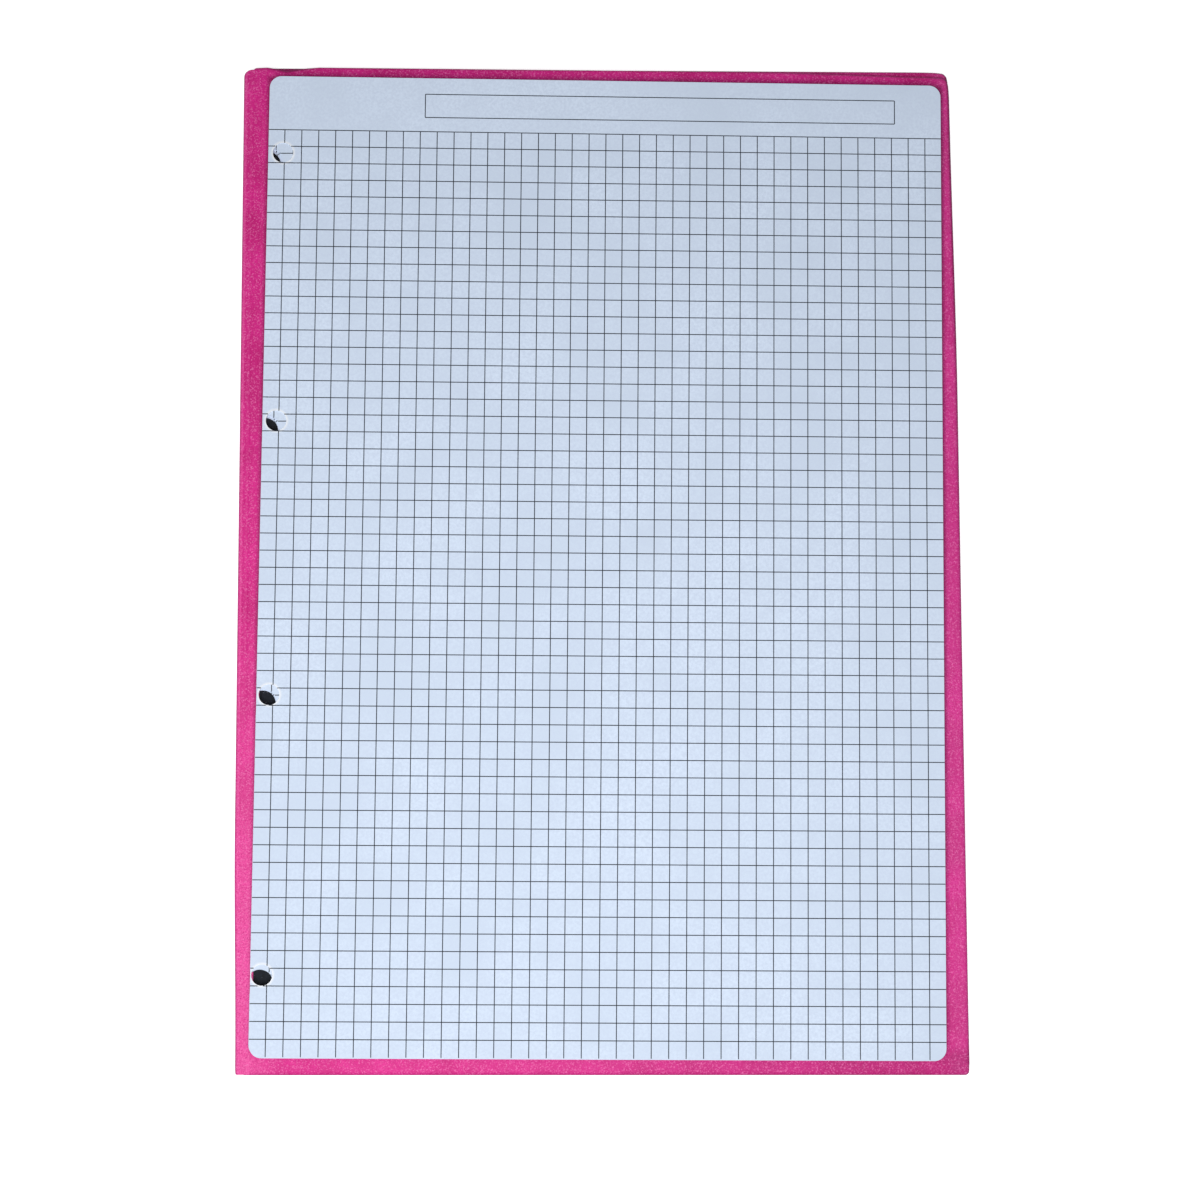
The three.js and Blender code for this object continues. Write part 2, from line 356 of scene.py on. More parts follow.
def leatherette(name, grain_mm, grain_depth, deep, mid, pale, worn):
    """Fine-grained matt leatherette: pebbled grain, dark pits, pale flecks, broad mottling, rubbed wear, and
    painted light and shade. The attribute "edge" says where it is rubbed pale, which on the fold's crown is
    also a painted highlight, and "grime" where painted shade falls."""
    s = Surface(name, 0.5, specular=0.75)
    s.shader.inputs["Specular Tint"].default_value = GLOSS_TINT
    s.shader.inputs["Sheen Weight"].default_value = 0.05
    s.shader.inputs["Sheen Roughness"].default_value = 0.45
    s.shader.inputs["Sheen Tint"].default_value = SHEEN_TINT
    pebbles = s.cells(grain_mm)
    fine = s.noise(grain_mm * 0.45, 3.0, 0.6)
    mottle = s.noise(14.0, 4.0, 0.6)
    clouds = s.noise(1.6, 3.0, 0.65)
    flecks = s.noise(0.42, 2.0, 0.6)
    pits = s.noise(0.4, 2.0, 0.6)
    ground = s.mix(s.remap(mottle, 0.36, 0.64), deep, mid)
    # rubbed edges and corners; on the fold's crown the pale colour is also a painted highlight
    rubbed = s.math("MULTIPLY", s.attribute("edge"), s.remap(clouds, 0.35, 0.7, 0.45, 0.95))
    ground = s.mix(rubbed, ground, worn)
    # painted highlight that pales the fold's foot, and a painted lilac sheen along the fore-edge
    painted_highlight = s.math(
        "MULTIPLY", s.remap(s.axis("Y"), *FOOT_HIGHLIGHT_Y), s.remap(s.axis("X"), *FOOT_HIGHLIGHT_X))
    ground = s.mix(s.math("MULTIPLY", painted_highlight, FOOT_HIGHLIGHT), ground, worn)
    ground = s.mix(s.remap(s.axis("X"), *FORE_EDGE_SHEEN_X, 0.0, FORE_EDGE_SHEEN), ground, SHEEN_LILAC)
    # painted shade: the foot's edge is darker to the right, and the head's a little darker throughout
    painted_foot_shade = s.math(
        "MULTIPLY", s.remap(s.axis("Y"), *FOOT_SHADE_Y),
        s.remap(s.axis("X"), *FOOT_SHADE_X, 0.0, FOOT_SHADE))
    ground = s.mix(painted_foot_shade, ground, SHADE)
    ground = s.mix(s.remap(s.axis("Y"), *HEAD_SHADE_Y, 0.0, HEAD_SHADE), ground, SHADE)
    # grain: hollows are darker, the tips of the pebbles catch the light
    ground = s.mix(s.remap(clouds, 0.52, 0.72, 0.0, 0.3), ground, deep)
    ground = s.mix(s.remap(pebbles, 0.25, 0.75, 0.0, 0.4), ground, deep)
    ground = s.mix(s.remap(pits, 0.5, 0.66, 0.0, 0.8), ground, deep)
    ground = s.mix(s.remap(flecks, 0.52, 0.7, 0.0, 0.65), ground, pale)
    # painted shadow in the corner between the pad and the cover
    beside_pad = s.math("MULTIPLY", s.remap(s.outside_pad(), *PAD_SHADE_REACH, PAD_SHADE, 0.0),
                        s.remap(s.axis("Y"), *PAD_SHADE_Y, PAD_SHADE_AT_FOOT, 1.0))
    on_inner_face = s.remap(s.axis("Z"), *INNER_FACE_Z)
    ground = s.mix(s.math("MULTIPLY", beside_pad, on_inner_face), ground, SHADE)
    # painted shade on the covers' outer edges
    s.colour(s.mix(s.attribute("painted_shade"), ground, SHADE))
    s.roughness(s.remap(fine, 0.3, 0.7, 0.42, 0.6))
    height = s.math("ADD", s.math("MULTIPLY", pebbles, -0.7), s.math("MULTIPLY", fine, 0.45))
    s.bump(height, grain_depth)
    return s.material


def paper(name, shade, light, speck):
    """Smooth uncoated paper: faint fibres, cloudy tone, speckle and a fine tooth. The attribute "edge" says
    where a painted highlight lies on a burr."""
    s = Surface(name, 0.82, specular=0.3)
    clouds = s.noise(22.0, 4.0, 0.55)
    fibres = s.noise(0.5, 4.0, 0.7, stretch=(1.0, 0.45, 1.0))
    tooth = s.noise(0.3, 2.0, 0.6)
    ground = s.mix(s.remap(clouds, 0.35, 0.65), shade, light)
    ground = s.mix(s.remap(fibres, 0.5, 0.75, 0.0, 0.6), ground, shade)
    speckle = s.noise(0.8, 2.0, 0.7)
    ground = s.mix(s.remap(speckle, 0.35, 0.65, 0.0, 0.9), ground, speck)
    # painted highlight on the burr round a punched hole
    s.colour(s.mix(s.math("MULTIPLY", s.attribute("edge"), 0.85), ground, WHITE))
    s.roughness(s.remap(tooth, 0.3, 0.7, 0.76, 0.9))
    s.bump(s.math("ADD", fibres, s.math("MULTIPLY", tooth, 0.5)), 0.03, 0.8)
    return s.material


def printing_ink():
    """Dark slate offset ink that lies thinner in places."""
    s = Surface("printing_ink", 0.7, specular=0.3)
    strength = s.noise(9.0, 3.0, 0.6)
    broken = s.noise(0.3, 2.0, 0.6)
    ground = s.mix(s.remap(strength, 0.35, 0.68), linear(24, 28, 34), linear(52, 58, 68))
    s.colour(s.mix(s.remap(broken, 0.58, 0.8, 0.0, 0.4), ground, linear(110, 118, 132)))
    return s.material


def black_card():
    """Black dyed card with a faint fibrous surface."""
    s = Surface("black_card", 0.85, specular=0.3)
    fibres = s.noise(0.7, 4.0, 0.7, stretch=(1.0, 0.35, 1.0))
    lint = s.noise(0.5, 1.0, 0.4)
    ground = s.mix(s.remap(fibres, 0.35, 0.7), linear(20, 23, 29), linear(33, 37, 45))
    ground = s.mix(s.remap(lint, 0.72, 0.78, 0.0, 0.5), ground, linear(120, 124, 132))
    s.colour(s.mix(s.math("MULTIPLY", s.attribute("edge"), 0.5), ground, linear(62, 66, 74)))
    s.roughness(s.remap(fibres, 0.3, 0.7, 0.78, 0.92))
    s.bump(fibres, 0.03)
    return s.material


def greyboard():
    """Grey recycled board with darker and paler fibres."""
    s = Surface("greyboard", 0.95, specular=0.2)
    clouds = s.noise(6.0, 4.0, 0.6)
    fibres = s.noise(0.8, 4.0, 0.75, stretch=(1.0, 0.3, 1.0))
    ground = s.mix(s.remap(clouds, 0.35, 0.65), linear(128, 120, 108), linear(156, 148, 136))
    s.colour(s.mix(s.remap(fibres, 0.55, 0.75, 0.0, 0.6), ground, linear(98, 92, 84)))
    s.bump(fibres, 0.08)
    return s.material


def pale_floor():
    """White table, lit from below like a packshot's, so that it stays white right out to the edges."""
    s = Surface("pale_floor", 0.9, specular=0.1)
    tone = s.noise(120.0, 3.0, 0.5)
    s.colour(s.mix(tone, linear(246, 246, 247), linear(252, 252, 252)))
    s.shader.inputs["Emission Color"].default_value = WHITE
    s.shader.inputs["Emission Strength"].default_value = FLOOR_GLOW
    return s.material


# the last colour serves rubbed wear and painted highlights
SKIN = leatherette(
    "fuchsia_leatherette", 0.55, 0.07,
    linear(200, 24, 118), linear(232, 42, 147), linear(252, 132, 194), linear(248, 92, 170))
LINING = leatherette(
    "fuchsia_lining", 0.48, 0.055,
    linear(202, 26, 119), linear(234, 44, 148), linear(252, 136, 196), linear(250, 98, 174))
PAPER = paper("squared_paper", linear(212, 225, 242), linear(223, 236, 254), linear(210, 222, 241))
INK = printing_ink()
CARD = black_card()
BOARD = greyboard()


# ---- Mesh helpers ----

def piece(name, vertices, faces, material, edge=None, painted_shade=None, smooth=True):
    """A mesh object. edge and grime are one number per vertex, for the materials to read; grime is the strength
    of painted shade.
    """
    mesh = bpy.data.meshes.new(name)
    mesh.from_pydata([tuple(v) for v in vertices], [], faces)
    mesh.validate()
    mesh.materials.append(material)
    for layer, values in (("edge", edge), ("painted_shade", painted_shade)):
        if values:
            mesh.attributes.new(layer, "FLOAT", "POINT").data.foreach_set("value", values)
    mesh.polygons.foreach_set("use_smooth", [smooth] * len(mesh.polygons))
    mesh.update()
    made = bpy.data.objects.new(name, mesh)
    bpy.context.scene.collection.objects.link(made)
    return made


def smooth_step(value):
    value = min(1.0, max(0.0, value))
    return value * value * (3 - 2 * value)


def side_steps(length, count):
    """Places along a side from 0 to 1, close together near its ends."""
    near_end_mm = [0.0, 0.25, 0.7, 1.5, 3.0, 5.5, 9.0]
    ends = [v * MM / length for v in near_end_mm]
    inner = np.linspace(ends[-1], 1 - ends[-1], count)[1:-1]
    return ends + list(inner) + [1 - v for v in reversed(ends)]


def outline_loop(half_width, half_height, radius, corner_steps, short_steps, long_steps):
    """Points of a rounded rectangle, anticlockwise from the foot of its right-hand side."""
    w = half_width - radius
    h = half_height - radius
    corners = [(w, h), (-w, h), (-w, -h), (w, -h)]
    sides = [((w + radius, -h), (0, 2 * h), long_steps), ((w, h + radius), (-2 * w, 0), short_steps),
             ((-w - radius, h), (0, -2 * h), long_steps), ((-w, -h - radius), (2 * w, 0), short_steps)]
    loop = []
    for index, ((x, y), (dx, dy), steps) in enumerate(sides):
        loop += [(x + dx * t, y + dy * t) for t in steps]
        cx, cy = corners[index]
        for step in range(1, corner_steps):
            angle = (index + step / corner_steps) * math.pi / 2
            loop.append((cx + radius * math.cos(angle), cy + radius * math.sin(angle)))
    return loop


def soft_slab(name, place, low, high, corner, edge_round, material, body, *,
              outline_shift=None, relief=None, half_width=None, half_height=None, shift=(0, 0), insets=(),
              reach=None, painted_shade_at=None):
    """A closed flat slab with rounded edges, made of loops that follow its outline inwards on both faces.
    outline_shift(x, y) gives (dx, dy), relief(x, y, inset, side) gives dz, with side +1 on the upper face,
    and dirt(x, y, inset) gives how strong the painted shade is at a place."""
    half_width = half_width or place.half_width
    half_height = half_height or place.half_height
    bend = min(edge_round, (high - low) / 2)
    arc = [bend * (1 - math.cos(angle)) for angle in np.linspace(0, math.pi / 2, 6)]
    deep = [d for d in insets if d > bend]
    levels = arc + deep + list(np.linspace(max([bend, *deep]), half_width, 12))[1:]
    short_steps = side_steps(2 * half_width, 40)
    long_steps = side_steps(2 * half_height, 50)
    reach = reach or edge_round * 1.4
    vertices = []
    edge = []
    painted_shade = []
    faces = []

    def add_loop(inset, side):
        radius = max(corner - inset, 0.02 * MM)
        loop = outline_loop(
            max(half_width - inset, radius), half_height - inset, radius, 8, short_steps, long_steps)
        drop = bend - math.sqrt(max(bend ** 2 - (bend - inset) ** 2, 0)) if inset < bend else 0.0
        level = high - drop if side > 0 else low + drop
        start = len(vertices)
        for x, y in loop:
            x += shift[0]
            y += shift[1]
            dx, dy = outline_shift(x, y) if outline_shift else (0.0, 0.0)
            dz = relief(x, y, inset, side) if relief else 0.0
            vertices.append(place.world(x + dx, y + dy, level + dz))
            towards_corner = math.hypot(half_width - abs(x), half_height - abs(y))
            wear = 1 - smooth_step(inset / reach)
            edge.append(wear * max(0.2, 1 - smooth_step(towards_corner / (CORNER_WEAR * MM))))
            painted_shade.append(painted_shade_at(x, y, inset) if painted_shade_at else 0.0)
        return start, len(loop)

    def join(first, second, count):
        for i in range(count):
            j = (i + 1) % count
            faces.append((first + i, first + j, second + j, second + i))

    upper = [add_loop(d, +1) for d in levels]
    lower = [add_loop(d, -1) for d in levels]
    count = upper[0][1]
    for a, b in zip(upper, upper[1:]):
        join(a[0], b[0], count)
    for a, b in zip(lower, lower[1:]):
        join(b[0], a[0], count)
    join(lower[0][0], upper[0][0], count)
    made = piece(name, vertices, faces, material, edge=edge, painted_shade=painted_shade)
    weld(made)
    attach(made, body)
    return made


def weld(made, distance=1e-7):
    """Merges coincident points and drops the faces that collapse, so that the mesh is closed and clean."""
    b = bmesh.new()
    b.from_mesh(made.data)
    bmesh.ops.remove_doubles(b, verts=b.verts, dist=distance)
    bmesh.ops.dissolve_degenerate(b, edges=b.edges, dist=distance)
    bmesh.ops.recalc_face_normals(b, faces=b.faces)
    b.to_mesh(made.data)
    b.free()
    made.data.update()


def wander(x, y, size_mm, seed):
    """Slow unevenness between about -1 and 1."""
    return noise.noise(Vector((x / (size_mm * MM), y / (size_mm * MM), seed)))


# ---- Covers ----

def lean_of_head(x):
    """How far the folio's head and foot are out of square at a place across it."""
    return -OUT_OF_SQUARE * x


def cover_relief(half_width, half_height, inner, seed):
    """A cover's faces: a slight warp, and creases where the turn-ins are mitred at the fore-edge corners."""
    def relief(x, y, inset, side):
        dz = BOARD_WARP * MM * wander(x, y, 55.0, seed + side) * smooth_step(inset / (6 * MM))
        if side == inner and x > 0 and 0 < inset < TURN_IN * MM:
            off_mitre = abs((half_width - x) - (half_height - abs(y))) / math.sqrt(2)
            dz -= side * MITRE_DEPTH * MM * math.exp(-(off_mitre / (0.35 * MM)) ** 2)
        return dz
    return relief


def plain_outline(x, y):
    return 0.0, lean_of_head(x)


def knock(x, y, half_width, half_height, depth_mm):
    """How far the head's fore-edge corner is knocked in at a place near it."""
    from_corner = math.hypot(half_width - x, half_height - y)
    return depth_mm * MM * math.exp(-from_corner / (KNOCK_REACH * MM))


def rounded_outline(half_width, half_height):
    """The lower cover: as much out of square as the folio, with one worn corner."""
    def outline(x, y):
        worn = knock(x, y, half_width, half_height, LOWER_KNOCK)
        return -worn, lean_of_head(x) - worn * 0.8
    return outline


def knocked_outline(half_width, half_height):
    """The upper cover's head: dented near the fold and pressed in towards the fore-edge, so that the lower
    cover shows past it."""
    def outline(x, y):
        from_head = max(half_height - y, 0.0)
        from_left = x + half_width
        near_head = 1 - smooth_step(from_head / (40 * MM))
        off_dent = (from_left - HEAD_DENT_PLACE * MM) / (HEAD_DENT_WIDTH * MM)
        dent = HEAD_DENT * MM * math.exp(-off_dent ** 4)
        dent += HEAD_DENT_LEFT * MM * (1 - smooth_step(from_left / (8 * MM)))
        pressed = HEAD_PRESSED * MM * smooth_step((x - 40 * MM) / (70 * MM))
        inward = HEAD_NARROWING * MM * (1 - smooth_step(from_head / (100 * MM)))
        inward *= smooth_step(x / (100 * MM))
        worn = knock(x, y, half_width, half_height, UPPER_KNOCK)
        return -inward - worn, lean_of_head(x) - (dent + pressed) * near_head - worn * 0.6
    return outline


def build_cover(side, body):
    place = Place(f"{side}_cover_skin")

    def painted_shade_at(x, y, inset):
        """Painted shade on the outer edge: on the right, towards the head, and in the head's dent near the
        fold.
        """
        at_edge = 1 - smooth_step((inset - 0.5 * MM) / (0.7 * MM))
        on_right = smooth_step((x - place.half_width + 2 * MM) / MM) * smooth_step((y + 60 * MM) / (170 * MM))
        from_left = x + place.half_width
        in_dent = math.exp(-((from_left - 11 * MM) / (6 * MM)) ** 4) if y > 0 else 0.0
        return EDGE_SHADE * at_edge * max(on_right, in_dent)

    inner = 1 if side == "back" else -1
    low = place.low + (COVER_RECESS * MM if inner < 0 else 0)
    high = place.high - (COVER_RECESS * MM if inner > 0 else 0)
    make_outline = knocked_outline if side == "back" else rounded_outline
    outline = make_outline(place.half_width, place.half_height)
    skin = soft_slab(
        f"{side}_cover_leatherette", place, low, high, COVER_CORNER * MM, COVER_EDGE * MM, SKIN, body,
        outline_shift=outline,
        relief=cover_relief(place.half_width, place.half_height, inner, 3.0 + inner),
        insets=[v * MM for v in (1.6, 2.6, 4.0, 6.0, 9.0, 12.5, TURN_IN, TURN_IN + 0.6)], painted_shade_at=painted_shade_at)
    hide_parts(f"{side}_cover_skin")

    core_place = Place(f"{side}_cover_core")
    core = soft_slab(
        f"{side}_cover_greyboard", core_place, core_place.low, core_place.high, 0.6 * MM, 0.1 * MM, BOARD,
        body, outline_shift=outline)
    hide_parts(f"{side}_cover_core")

    # the lining starts where the hinge lining ends
    lap = HINGE_LAP * MM + 0.1 * MM - (place.world(-place.half_width, 0, 0).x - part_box("spine_lining")[0].x)
    fore_gap = TURN_IN * MM
    face = place.high if inner > 0 else place.low
    back = face - inner * LINING_THICKNESS * MM
    lining = soft_slab(
        f"{side}_cover_pasted_lining", place, min(face, back), max(face, back), LINING_EDGE * MM, 0.03 * MM,
        LINING, body, half_width=place.half_width - (lap + fore_gap) / 2,
        half_height=place.half_height - TURN_IN * MM + LINING_EDGE * MM, shift=((lap - fore_gap) / 2, 0),
        outline_shift=plain_outline, reach=0.5 * MM)
    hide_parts(f"{side}_cover_lining")


# ---- Folds and spine ----

def strip_along_y(name, outer, inner, stations, material, ripple, wear):
    """A closed strip whose section runs out along one list of (x, z) points and back along another, drawn
    through the stations along Y with small ripples."""
    section = outer + inner[::-1]
    vertices = []
    edge = []
    for y in stations:
        for index, (x, z) in enumerate(section):
            dx, dz = ripple(x, y, z, index < len(outer))
            vertices.append((x + dx, y, z + dz))
            edge.append(wear(x, y, z) if index < len(outer) else 0.0)
    size = len(section)
    faces = []
    for row in range(len(stations) - 1):
        for i in range(size):
            j = (i + 1) % size
            a = row * size
            b = a + size
            faces.append((a + i, a + j, b + j, b + i))
    last = (len(stations) - 1) * size
    for i in range(len(outer) - 1):
        quad = (i, i + 1, size - 2 - i, size - 1 - i)
        faces.append(quad)
        faces.append(tuple(last + v for v in quad[::-1]))
    made = piece(name, vertices, faces, material, edge=edge)
    weld(made)
    return made


def fold_section(left, level, up):
    """Outer and inner outlines of a hinge lining, from its lap on the cover, round the fold and down the
    spine. up is +1 for the fold at the top of the spine and -1 for the one at its foot."""
    r = FOLD_RADIUS * MM
    crease = HINGE_CREASE * MM

    def under(depth_mm):
        return level - up * depth_mm * MM

    outer = [(left + HINGE_LAP * MM, under(0.06)), (left + 5.0 * MM, under(0.035)),
             (left + 4.5 * MM, under(0.01)), (left + crease + 0.8 * MM, under(0.0)),
             (left + crease + 0.4 * MM, under(0.01)),
             (left + crease + 0.15 * MM, under(CREASE_DEPTH * 0.6)), (left + crease, under(CREASE_DEPTH)),
             (left + crease - 0.2 * MM, under(CREASE_DEPTH * 0.8)), (left + crease - 0.5 * MM, under(0.05)),
             (left + 1.9 * MM, under(0.05)), (left + (FOLD_CROWN + 0.3) * MM, under(0.1)),
             (left + (FOLD_CROWN + 0.12) * MM, under(0.1)), (left + (FOLD_CROWN - 0.1) * MM, under(0.03))]
    centre_x = left + r
    centre_z = level - up * r
    for step in range(1, 9):
        angle = math.pi / 2 + step / 8 * math.pi / 2
        outer.append((centre_x + r * math.cos(angle), centre_z + up * r * math.sin(angle)))
    outer += [(left + 0.01 * MM, under(FOLD_RADIUS + 0.4)), (left + 0.03 * MM, under(SPINE_LAP + 0.2))]
    inner = []
    for index, (x, z) in enumerate(outer):
        before = Vector(outer[max(index - 1, 0)])
        after = Vector(outer[min(index + 1, len(outer) - 1)])
        along = (after - before).normalized()
        inward = Vector((-along.y, along.x)) * up
        is_end = index == len(outer) - 1
        thickness = 0.1 * MM if x > left + crease + 0.3 * MM or is_end else HINGE_THICKNESS * MM
        inner.append((x + inward.x * thickness, z + inward.y * thickness))
    return outer, inner


def pull_of_foot(y, foot):
    """How far the fold and the spine lean in towards the board near their foot."""
    return FOOT_PULL * MM * (1 - smooth_step((y - foot) / (FOOT_PULL_REACH * MM)))


def build_fold(name, node, level, up):
    low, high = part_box(node)
    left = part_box("spine_lining")[0].x
    outer, inner = fold_section(left, level, up)
    foot = low.y + lean_of_head(left) + 0.3 * MM
    head = high.y + lean_of_head(left)
    near_end = [v * MM for v in (0, 0.1, 0.25, 0.5, 0.9, 1.4, 2.0, 3.0)]
    stations = [foot + v for v in near_end]
    stations += list(np.linspace(foot + 4 * MM, head - 4 * MM, 180))
    stations += [head - v for v in reversed(near_end)]

    def ripple(x, y, z, on_outside):
        corner = FOLD_CORNER * MM
        into = max(corner - (head - y), 0.35 * (corner - (y - foot)), 0.0)
        pull = corner - math.sqrt(max(corner ** 2 - into ** 2, 0))
        dx = pull * (1 - smooth_step((x - left) / (3.5 * MM)))
        dx += pull_of_foot(y, foot) * (1 - smooth_step((x - left - 1.5 * MM) / (3.5 * MM)))
        near_fold = smooth_step(1 - abs(x - left - 1.2 * MM) / (2.4 * MM))
        sink = 0.04 * MM * near_fold * abs(wander(x * 3, y, 7.0, 5.0 + up)) if on_outside else 0.0
        on_board = (FOLD_CROWN - 0.2) * MM < x - left < (HINGE_LAP - 0.5) * MM
        if on_outside and on_board:
            # the crease is pressed out towards the foot
            sink -= up * (level - z) * 0.8 * smooth_step(-y / (70 * MM))
        return dx, -up * sink

    def wear(x, y, z):
        # the crown is rubbed pale, and its pale colour is also a painted highlight
        on_crown = 1 - smooth_step((x - left - (FOLD_CROWN - 0.15) * MM) / (0.2 * MM))
        off_crease = (x - left - (HINGE_CREASE - 0.45) * MM) / (0.25 * MM)
        crease = 0.25 * smooth_step(1 + y / (70 * MM)) * math.exp(-off_crease ** 2)
        return max(on_crown, crease)

    skin = strip_along_y(name, outer, inner, stations, LINING, ripple, wear)
    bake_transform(skin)
    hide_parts(node)


def upright_strip(name, x0, x1, material, node, seed):
    """One layer of the spine, upright at rest, with rounded long edges and slightly pinched ends."""
    low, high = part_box(node)
    if node == "spine_core":
        low.z += SPINE_CORE_INSET * MM
        high.z -= SPINE_CORE_INSET * MM
    foot = low.y + lean_of_head(x0) + SPINE_FOOT_SHORT * MM
    head = high.y + lean_of_head(x0) - SPINE_HEAD_SHORT * MM
    r = min(SPINE_ROUND * MM, (x1 - x0) / 2.2)
    corners = [(x1 - r, low.z + r, -90), (x1 - r, high.z - r, 0),
               (x0 + r, high.z - r, 90), (x0 + r, low.z + r, 180)]
    ring = []
    for cx, cz, begin in corners:
        for step in range(5):
            angle = math.radians(begin + 90 * step / 4)
            ring.append((cx + r * math.cos(angle), cz + r * math.sin(angle)))
    stations = [foot, foot + 0.12 * MM, *np.linspace(foot + 0.5 * MM, head - 0.5 * MM, 90),
                head - 0.12 * MM, head]
    middle = ((x0 + x1) / 2, (low.z + high.z) / 2)
    vertices = []
    edge = []
    for index, y in enumerate(stations):
        at_end = index in (0, len(stations) - 1)
        pinch = SPINE_PINCH if at_end else 1.0
        for x, z in ring:
            shift = pull_of_foot(y, foot)
            shift += 0.0 if at_end else 0.02 * MM * abs(wander(z * 4, y, 12.0, seed))
            vertices.append(
                (middle[0] + (x - middle[0]) * pinch + shift, y, middle[1] + (z - middle[1]) * pinch))
            edge.append(0.6 * (1 - smooth_step(min(y - foot, head - y) / (3 * MM))))
    size = len(ring)
    last = (len(stations) - 1) * size
    faces = [tuple(range(size - 1, -1, -1)), tuple(last + i for i in range(size))]
    for row in range(len(stations) - 1):
        a = row * size
        b = a + size
        faces += [(a + i, a + (i + 1) % size, b + (i + 1) % size, b + i) for i in range(size)]
    made = piece(name, vertices, faces, material, edge=edge)
    weld(made)
    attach(made, "spine")
    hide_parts(node)


def build_spine():
    """A stiffener between leatherette on one side, towards the covers' edges at rest, and a lining on the
    other."""
    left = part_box("spine_lining")[0].x
    skin_low, skin_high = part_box("spine_skin")
    upright_strip("spine_leatherette", skin_low.x - 0.1 * MM, skin_high.x, SKIN,
                  "spine_skin", 2.0)
    upright_strip("spine_pasted_lining", left + 0.05 * MM, skin_low.x + 0.02 * MM, LINING,
                  "spine_lining", 4.0)
    core_low, core_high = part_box("spine_core")
    upright_strip("spine_stiffener", core_low.x, core_high.x, BOARD, "spine_core", 6.0)


# ---- Sheets ----

def page_limit(place, y):
    """Half the page's width at a height y on it, which shrinks round its corners."""
    r = PAGE_CORNER * MM
    into_corner = abs(y) - (place.half_height - r)
    if into_corner <= 0:
        return place.half_width
    return place.half_width - r + math.sqrt(max(r * r - min(into_corner, r) ** 2, 0))


def clear_spans(start, end, blocked):
    """What is left of the span from start to end without the blocked spans."""
    spans = []
    at = start
    for low, high in sorted(blocked):
        if high <= at or low >= end:
            continue
        if low > at:
            spans.append((at, low))
        at = max(at, high)
    if at < end:
        spans.append((at, end))
    return [(a, b) for a, b in spans if b - a > 0.05 * MM]


def line_spans(holes, upright, at, start, end):
    """The parts of a printed line that no hole takes away."""
    blocked = []
    for x, y, radius in holes:
        across = at - (x if upright else y)
        keep_off = radius + 0.04 * MM
        if abs(across) < keep_off:
            half = math.sqrt(keep_off ** 2 - across ** 2)
            middle = y if upright else x
            blocked.append((middle - half, middle + half))
    return clear_spans(start, end, blocked)


def grid_lines(place, drift, turn):
    """Every printed line of a sheet as (upright, at, start, end), before the print is turned about the middle
    of the sheet's left edge, and cut off where it would run over the sheet's edges once turned."""
    left = -place.half_width + GRID_LEFT * MM + drift.x
    top = place.half_height - GRID_TOP * MM + drift.y
    foot = -place.half_height + GRID_FOOT * MM
    lines = []
    for index in range(COLUMN_LINES):
        x = left + index * SQUARE * MM
        lines.append((True, x, foot - turn * (x + place.half_width), top))
    for index in range(ROW_LINES):
        y = top - index * SQUARE * MM
        right_limit = page_limit(place, y + 2 * turn * place.half_width) - 0.02 * MM
        left_limit = page_limit(place, y) - 0.02 * MM
        lines.append((False, y, turn * y - left_limit, turn * y + right_limit))
    title_left = -place.half_width + TITLE_LEFT * MM + drift.x
    title_right = -place.half_width + TITLE_RIGHT * MM + drift.x
    title_top = place.half_height - TITLE_TOP * MM + drift.y
    title_foot = place.half_height - TITLE_FOOT * MM + drift.y
    lines += [(True, title_left, title_foot, title_top), (True, title_right, title_foot, title_top),
              (False, title_top, title_left, title_right), (False, title_foot, title_left, title_right)]
    return lines


def build_print(number, place, holes, drift, turn, surface, step):
    """The printed lines of a sheet, as ink lying on its upper face."""
    vertices = []
    faces = []
    half = INK_WIDTH * MM / 2
    pivot = Vector((-place.half_width, 0))
    turning = Matrix.Rotation(turn, 2)
    holes = [(*((Vector((x, y)) - pivot) @ turning + pivot), radius) for x, y, radius in holes]
    for upright, at, start, end in grid_lines(place, drift, turn):
        thickness = (INK_HEIGHT if upright else INK_HEIGHT * 1.25) * MM
        for a, b in line_spans(holes, upright, at, start, end):
            count = max(1, round((b - a) / step))
            first = len(vertices)
            for index in range(count + 1):
                along = a + (b - a) * index / count
                for offset, level in ((-half, 0), (half, 0), (half, thickness), (-half, thickness)):
                    spot = Vector((at + offset, along) if upright else (along, at + offset))
                    x, y = turning @ (spot - pivot) + pivot
                    vertices.append(place.world(x, y, place.high + surface(x, y) + level))
            for index in range(count):
                p = first + 4 * index
                for i in range(4):
                    j = (i + 1) % 4
                    quad = (p + i, p + j, p + 4 + j, p + 4 + i)
                    faces.append(quad[::-1] if upright else quad)
            ends = [(first, first + 1, first + 2, first + 3),
                    tuple(first + 4 * count + i for i in (3, 2, 1, 0))]
            faces += ends if upright else [end[::-1] for end in ends]
    body = f"sheet_{number:02d}"
    made = piece(f"{body}_print", vertices, faces, INK, smooth=False)
    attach(made, body)


def top_surface(place, holes):
    """Height of the top sheet above flat: a few slow waves that die out at its edges, and punching burrs."""
    def height(x, y):
        from_edge = min(place.half_width - abs(x), place.half_height - abs(y))
        fade = smooth_step(from_edge / (35 * MM))
        wave = 0.5 + 0.5 * wander(x + 0.4 * y, y, 75.0, 1.5)
        lift = COCKLE * MM * max(0.0, wave) * fade
        for hx, hy, radius in holes:
            rim = math.hypot(x - hx, y - hy) - radius
            if rim < 3 * MM:
                lift += BURR * MM * math.exp(-max(rim, 0) / (BURR_REACH * MM))
        return lift
    return height


def circle(x, y, radius, steps):
    return [(x + radius * math.cos(2 * math.pi * i / steps), y + radius * math.sin(2 * math.pi * i / steps))
            for i in range(steps)]


